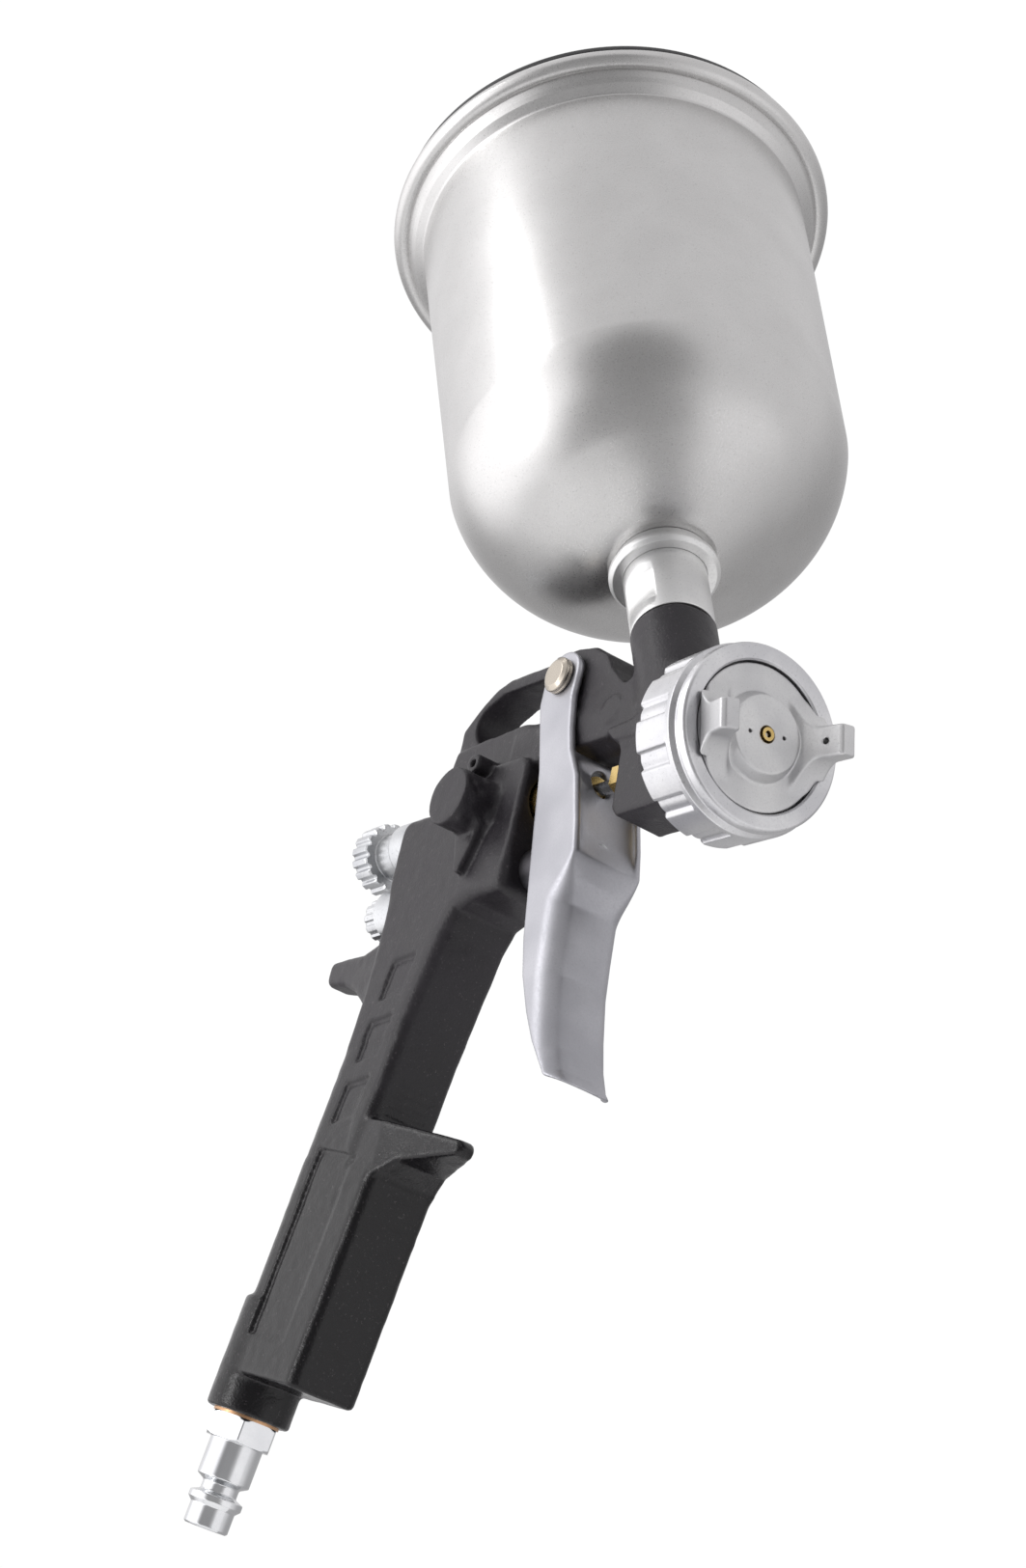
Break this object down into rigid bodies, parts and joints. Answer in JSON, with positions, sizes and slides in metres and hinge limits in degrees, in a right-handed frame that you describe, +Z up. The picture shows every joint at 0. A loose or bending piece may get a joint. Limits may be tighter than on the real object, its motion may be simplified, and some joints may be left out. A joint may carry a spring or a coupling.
{
  "type": "spray gun",
  "caption": "Gravity-feed air spray gun: metal cup on a leaning neck, horned air cap in a fluted ring, pressed trigger, cast grip with hanging loop and quick-connect plug.",
  "frame": {"origin": "centre of the air cap's face, on the spray axis", "axes": "+X along the spray axis, away from the gun; +Z up, towards the cup; +Y to the gun's left"},
  "size_m": [0.1616, 0.1014, 0.3412],
  "materials": {
    "body_paint": "black satin paint over a fine cast texture",
    "cup_metal": "satin bead-blasted aluminium",
    "neck_metal": "fine turned aluminium",
    "ring_metal": "satin nickel on a die casting",
    "cap_metal": "satin nickel, slightly coarse",
    "plug_chrome": "bright chrome",
    "trigger_metal": "satin zinc on pressed steel",
    "pin_metal": "polished nickel, a little warm",
    "knob_metal": "satin turned and knurled",
    "steel": "turned stainless steel",
    "spring_steel": "drawn wire",
    "dark_steel": "blackened steel",
    "brass": "turned brass",
    "copper_seal": "soft copper",
    "white_seal": "natural white polymer",
    "black_rubber": "matt",
    "lid_plastic": "moulded, slight gloss",
    "vent_plastic": "moulded",
    "mesh_plastic": "moulded"
  },
  "bodies": {
    "gun": {"gun_body": "body_paint", "air_plug": "plug_chrome", "inlet_seal": "copper_seal", "fluid_nozzle": "brass", "nozzle_gasket": "white_seal", "air_distributor": "neck_metal", "needle_packing": "white_seal", "packing_nut": "brass", "needle_spring": "spring_steel", "knob_bush": "knob_metal", "valve_seat": "brass", "valve_guide": "dark_steel", "valve_packing": "black_rubber", "valve_spring": "spring_steel", "valve_bush": "knob_metal", "bush_seal": "black_rubber", "trigger_pin": "pin_metal", "pin_screw": "pin_metal"},
    "cup": {"cup": "cup_metal", "cup_collar": "neck_metal", "cup_gasket": "white_seal", "cup_neck": "neck_metal", "cup_strainer": "mesh_plastic"},
    "lid": {"cup_lid": "lid_plastic", "lid_seal": "black_rubber"},
    "vent_cap": {"lid_vent_cap": "vent_plastic"},
    "ring": {"cap_ring": "ring_metal"},
    "cap": {"air_cap": "cap_metal"},
    "needle": {"needle": "steel", "needle_collar": "brass"},
    "sleeve": {"spring_seat": "steel"},
    "knob": {"fluid_knob": "knob_metal"},
    "valve": {"valve_stem": "steel", "valve_disc": "black_rubber"},
    "air_knob": {"air_knob": "knob_metal"},
    "trigger": {"trigger": "trigger_metal"}
  },
  "joints": [
    {"name": "trigger_pull", "type": "hinge", "parent": "gun", "child": "trigger", "pos_m": [-0.0654, 0, 0.0255], "axis": [0, 1, 0], "range_deg": [0, 11]},
    {"name": "needle_slide", "type": "slide", "parent": "gun", "child": "needle", "axis": [-1, 0, 0], "range_m": [0, 0.0051], "stiffness_N_per_m": 600, "springref_m": -0.008, "deforming": ["needle_spring"]},
    {"name": "valve_slide", "type": "slide", "parent": "gun", "child": "valve", "axis": [-1, 0, 0], "range_m": [0, 0.0081], "stiffness_N_per_m": 900, "springref_m": -0.006, "deforming": ["valve_spring"]},
    {"name": "knob_travel", "type": "slide", "parent": "gun", "child": "sleeve", "axis": [-1, 0, 0], "range_m": [0, 0.003]},
    {"name": "fluid_knob_turn", "type": "hinge", "parent": "sleeve", "child": "knob", "pos_m": [-0.135, 0, 0], "axis": [-1, 0, 0], "range_deg": [0, 1090]},
    {"name": "air_knob_turn", "type": "hinge", "parent": "gun", "child": "air_knob", "pos_m": [-0.129, 0, -0.016], "axis": [-1, 0, 0], "range_deg": [0, 360]},
    {"name": "cap_ring_turn", "type": "hinge", "parent": "gun", "child": "ring", "pos_m": [-0.01, 0, 0], "axis": [1, 0, 0], "range_deg": [0, 1080]},
    {"name": "air_cap_turn", "type": "hinge", "parent": "gun", "child": "cap", "pos_m": [0, 0, 0], "axis": [1, 0, 0], "range_deg": [-90, 90]},
    {"name": "cup_turn", "type": "hinge", "parent": "gun", "child": "cup", "pos_m": [-0.0221, 0, 0], "axis": [-0.4679, 0, 0.8838], "range_deg": [0, 1080]},
    {"name": "lid_lift", "type": "slide", "parent": "cup", "child": "lid", "axis": [-0.4679, 0, 0.8838], "range_m": [0, 0.03]},
    {"name": "vent_cap_turn", "type": "hinge", "parent": "lid", "child": "vent_cap", "pos_m": [-0.10867, 0, 0.1635], "axis": [-0.4679, 0, 0.8838], "range_deg": [0, 90]}
  ],
  "couplings": [
    {"joint": "needle_slide", "follows": "trigger_pull", "m_per_rad": 0.026044},
    {"joint": "valve_slide", "follows": "trigger_pull", "m_per_rad": 0.04167},
    {"joint": "fluid_knob_turn", "follows": "knob_travel", "rad_per_m": 6283.2}
  ]
}
